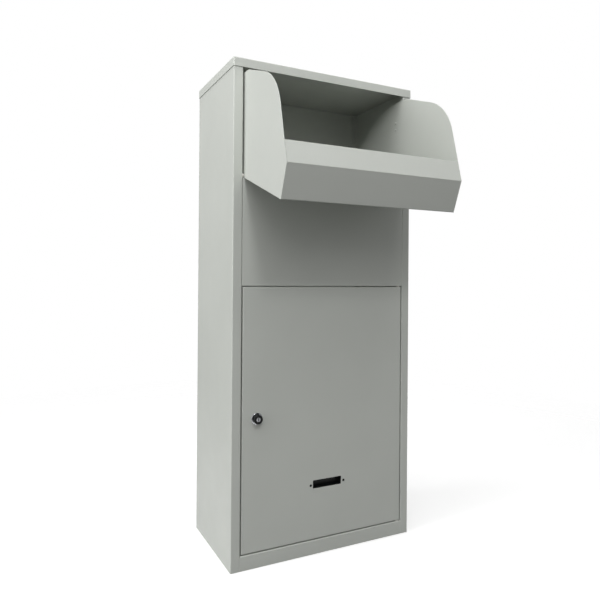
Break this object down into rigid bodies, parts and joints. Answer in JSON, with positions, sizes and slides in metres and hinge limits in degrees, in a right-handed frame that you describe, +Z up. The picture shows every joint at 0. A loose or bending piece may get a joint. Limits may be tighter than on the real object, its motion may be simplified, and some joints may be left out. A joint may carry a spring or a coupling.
{
  "type": "book drop box",
  "caption": "Free-standing folded sheet-steel book return cabinet with an outward-tilting hopper above a lockable, finger-slot door.",
  "frame": {"origin": "on the floor, under the middle of the cabinet's footprint, in the underside of the floor pan", "axes": "+Z up; +X to the right of someone facing the door; +Y from the door towards the back"},
  "size_m": [0.5098, 0.5064, 1.2],
  "materials": {
    "powder_coat": "light grey powder coat, satin with fine orange peel",
    "black_plastic": "black moulded plastic, fine matt grain",
    "rubber": "black moulded rubber",
    "chrome": "polished chrome plate",
    "zinc": "bright zinc plate",
    "nylon": "natural white nylon"
  },
  "bodies": {
    "cabinet": {"left_side_panel": "powder_coat", "right_side_panel": "powder_coat", "back_panel": "powder_coat", "floor_pan": "powder_coat", "bottom_front_rail": "powder_coat", "top_cap": "powder_coat", "upper_front_panel": "powder_coat", "mid_cross_rail": "powder_coat", "door_stop_strip": "powder_coat", "door_buffer_lower": "rubber", "door_buffer_upper": "rubber", "hopper_pivot_bolt_left": "zinc", "hopper_pivot_bolt_right": "zinc", "hopper_pivot_spacer_left": "nylon", "hopper_pivot_spacer_right": "nylon", "hopper_pivot_nut_left": "zinc", "hopper_pivot_nut_right": "zinc", "door_pivot_pin_lower": "zinc", "door_pivot_pin_upper": "zinc", "door_pivot_washer_lower": "nylon", "door_pivot_washer_upper": "nylon"},
    "hopper": {"hopper_pan": "powder_coat", "hopper_left_cheek": "powder_coat", "hopper_stop_left": "zinc", "hopper_stop_buffer_left": "rubber", "hopper_stop_rivet_left_lower": "powder_coat", "hopper_stop_rivet_left_upper": "powder_coat", "hopper_right_cheek": "powder_coat", "hopper_stop_right": "zinc", "hopper_stop_buffer_right": "rubber", "hopper_stop_rivet_right_lower": "powder_coat", "hopper_stop_rivet_right_upper": "powder_coat"},
    "door": {"door_panel": "powder_coat", "door_stiffener": "powder_coat", "handle_cup": "black_plastic", "handle_screw_left": "black_plastic", "handle_screw_right": "black_plastic", "handle_nut_left": "zinc", "handle_nut_right": "zinc", "lock_housing": "chrome", "lock_cap": "black_plastic", "lock_nut": "zinc"},
    "lock_cam": {"lock_plug": "chrome", "lock_cam": "zinc", "lock_cam_screw": "zinc"}
  },
  "joints": [
    {"name": "hopper_tilt", "type": "hinge", "parent": "cabinet", "child": "hopper", "pos_m": [0, -0.1297, 0.9262], "axis": [-1, 0, 0], "range_deg": [0, 110]},
    {"name": "door_hinge", "type": "hinge", "parent": "cabinet", "child": "door", "pos_m": [0.22085, -0.1307, 0.35], "axis": [0, 0, 1], "range_deg": [0, 105]},
    {"name": "lock_turn", "type": "hinge", "parent": "door", "child": "lock_cam", "pos_m": [-0.19, -0.1367, 0.3535], "axis": [0, -1, 0], "range_deg": [0, 90]}
  ]
}
